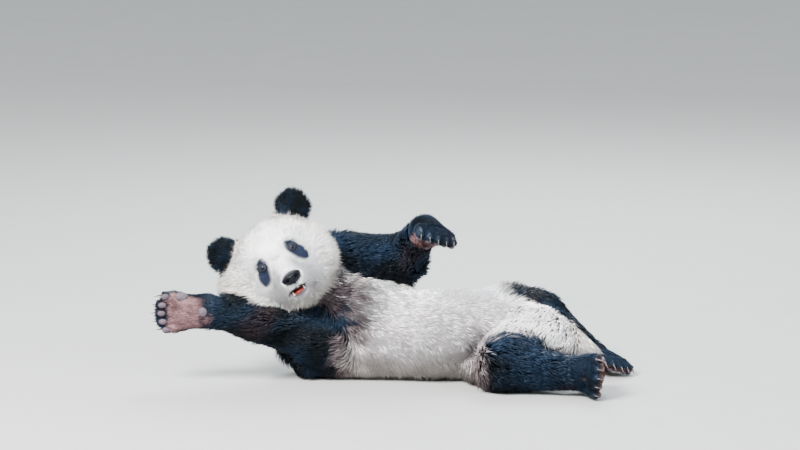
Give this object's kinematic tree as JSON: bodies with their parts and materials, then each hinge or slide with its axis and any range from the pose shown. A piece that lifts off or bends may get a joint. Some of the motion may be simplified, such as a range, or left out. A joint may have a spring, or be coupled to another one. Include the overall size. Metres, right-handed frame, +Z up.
{
  "type": "giant panda model",
  "caption": "Life-size young giant panda lying on its right side, belly to the front, one foreleg outstretched under its raised head and the other held over its chest.",
  "frame": {"origin": "bottom centre of the box around the whole animal, on the floor", "axes": "+Z up, -Y the side the belly and face look towards, -X the end where the head lies, +X the hind feet"},
  "size_m": [1.376, 0.659, 0.5384],
  "materials": {
    "white_coat": "white fur",
    "belly_coat": "cream fur",
    "black_coat": "black fur",
    "claw_horn": "horn",
    "eye": "wet dark brown",
    "nose_leather": "damp black skin",
    "tongue": "wet red"
  },
  "bodies": {
    "root": {"ear_left": "black_coat", "ear_right": "black_coat", "eye_left": "eye", "eye_right": "eye", "forearm_left": "black_coat", "forearm_right": "black_coat", "forepaw_left": "black_coat", "forepaw_left_claw_1": "claw_horn", "forepaw_left_claw_2": "claw_horn", "forepaw_left_claw_3": "claw_horn", "forepaw_left_claw_4": "claw_horn", "forepaw_left_claw_5": "claw_horn", "forepaw_right": "black_coat", "forepaw_right_claw_1": "claw_horn", "forepaw_right_claw_2": "claw_horn", "forepaw_right_claw_3": "claw_horn", "forepaw_right_claw_4": "claw_horn", "forepaw_right_claw_5": "claw_horn", "head": "white_coat", "hind_paw_left": "black_coat", "hind_paw_left_claw_1": "claw_horn", "hind_paw_left_claw_2": "claw_horn", "hind_paw_left_claw_3": "claw_horn", "hind_paw_left_claw_4": "claw_horn", "hind_paw_left_claw_5": "claw_horn", "hind_paw_right": "black_coat", "hind_paw_right_claw_1": "claw_horn", "hind_paw_right_claw_2": "claw_horn", "hind_paw_right_claw_3": "claw_horn", "hind_paw_right_claw_4": "claw_horn", "hind_paw_right_claw_5": "claw_horn", "neck": "white_coat", "nose": "nose_leather", "shin_left": "black_coat", "shin_right": "black_coat", "tail": "white_coat", "thigh_left": "black_coat", "thigh_right": "black_coat", "tongue": "tongue", "trunk": "belly_coat", "upper_arm_left": "black_coat", "upper_arm_right": "black_coat"}
  },
  "joints": []
}
